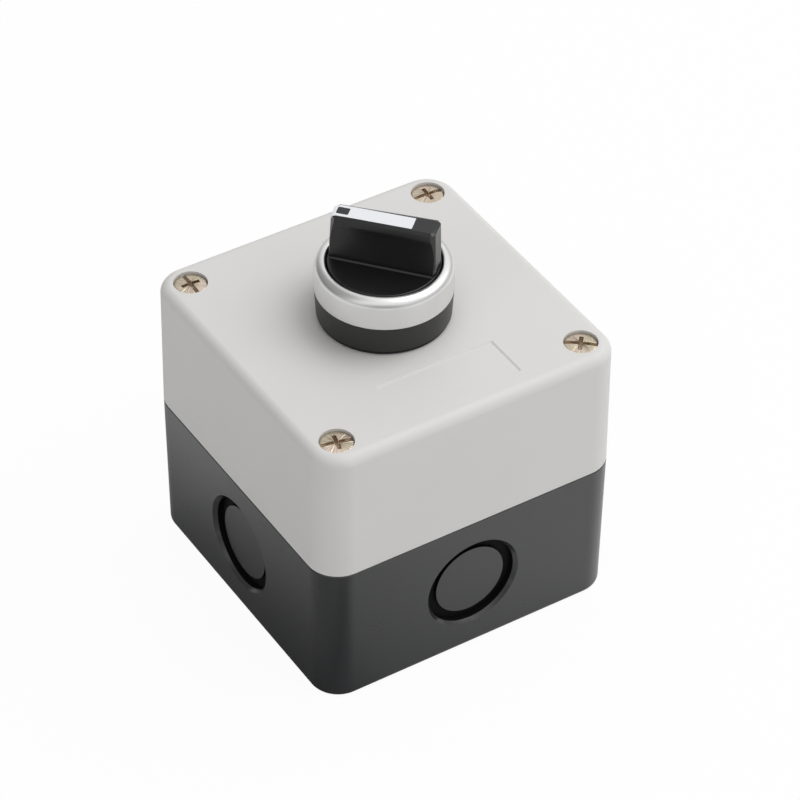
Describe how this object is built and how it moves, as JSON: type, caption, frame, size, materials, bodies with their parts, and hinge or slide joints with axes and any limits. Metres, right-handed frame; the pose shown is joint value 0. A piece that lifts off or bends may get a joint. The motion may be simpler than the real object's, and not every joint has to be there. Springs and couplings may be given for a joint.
{
  "type": "rotary control station",
  "caption": "Surface-mounted control station: a moulded box with a screwed lid, a rotary selector with a marked handle, and make and break contact blocks inside.",
  "frame": {"origin": "centre of the box's underside, in the plane of the surface it is fixed to", "axes": "+Z along the selector's turning axis, out of the lid; +Y towards the top of the station as it is read, the legend recess lies towards -Y; +X to the right"},
  "size_m": [0.072, 0.072, 0.0905],
  "materials": {
    "base_grey": "fine moulded texture, satin",
    "lid_grey": "fine moulded texture, satin",
    "foam_gasket": "soft foam",
    "nickel_screw": "nickel plated",
    "white_nylon": "smooth",
    "black_rubber": "matt",
    "black_moulding": "satin",
    "satin_bezel": "satin silver",
    "zinc_steel": "zinc plated",
    "nut_plastic": "satin",
    "knob_black": "semi-gloss",
    "marker_white": "smooth",
    "spindle_grey": "smooth",
    "bright_steel": "polished",
    "spring_steel": "drawn wire",
    "collar_plastic": "satin",
    "block_plastic": "satin",
    "green_plastic": "semi-gloss",
    "red_plastic": "semi-gloss",
    "brass_strip": "stamped strip"
  },
  "bodies": {
    "base": {"base_box": "base_grey"},
    "lid_unit": {"lid_cover": "lid_grey", "lid_gasket": "foam_gasket", "lid_screws": "nickel_screw", "screw_retainers": "white_nylon", "panel_seal": "black_rubber", "operator_body": "black_moulding", "bezel_ring": "satin_bezel", "locating_washer": "zinc_steel", "fixing_nut": "nut_plastic", "mounting_collar": "collar_plastic", "collar_screw": "zinc_steel", "make_housing": "block_plastic", "make_side_cover": "green_plastic", "make_return_spring": "spring_steel", "make_fixed_contacts": "brass_strip", "make_clamp_plates": "zinc_steel", "make_terminal_screws": "zinc_steel", "break_housing": "block_plastic", "break_side_cover": "red_plastic", "break_return_spring": "spring_steel", "break_fixed_contacts": "brass_strip", "break_clamp_plates": "zinc_steel", "break_terminal_screws": "zinc_steel"},
    "selector": {"knob": "knob_black", "marker_insert": "marker_white", "knob_spindle": "spindle_grey", "spindle_o_ring": "black_rubber", "detent_balls": "bright_steel", "detent_spring": "spring_steel"},
    "make_plunger_unit": {"make_plunger": "green_plastic", "make_bridge": "brass_strip"},
    "break_plunger_unit": {"break_plunger": "red_plastic", "break_bridge": "brass_strip"}
  },
  "joints": [
    {"name": "lid_lift", "type": "slide", "parent": "base", "child": "lid_unit", "axis": [0, 0, 1], "range_m": [0, 0.06]},
    {"name": "selector_turn", "type": "hinge", "parent": "lid_unit", "child": "selector", "pos_m": [0, 0, 0.066], "axis": [0, 0, 1], "range_deg": [-90, 0]},
    {"name": "make_plunger_slide", "type": "slide", "parent": "lid_unit", "child": "make_plunger_unit", "axis": [0, 0, -1], "range_m": [0, 0.00305], "deforming": ["make_return_spring"]},
    {"name": "break_plunger_slide", "type": "slide", "parent": "lid_unit", "child": "break_plunger_unit", "axis": [0, 0, -1], "range_m": [0, 0.00305], "deforming": ["break_return_spring"]}
  ],
  "couplings": [
    {"joint": "make_plunger_slide", "follows": "selector_turn", "m_per_rad": -0.0019099},
    {"joint": "break_plunger_slide", "follows": "selector_turn", "m_per_rad": -0.0019099}
  ]
}
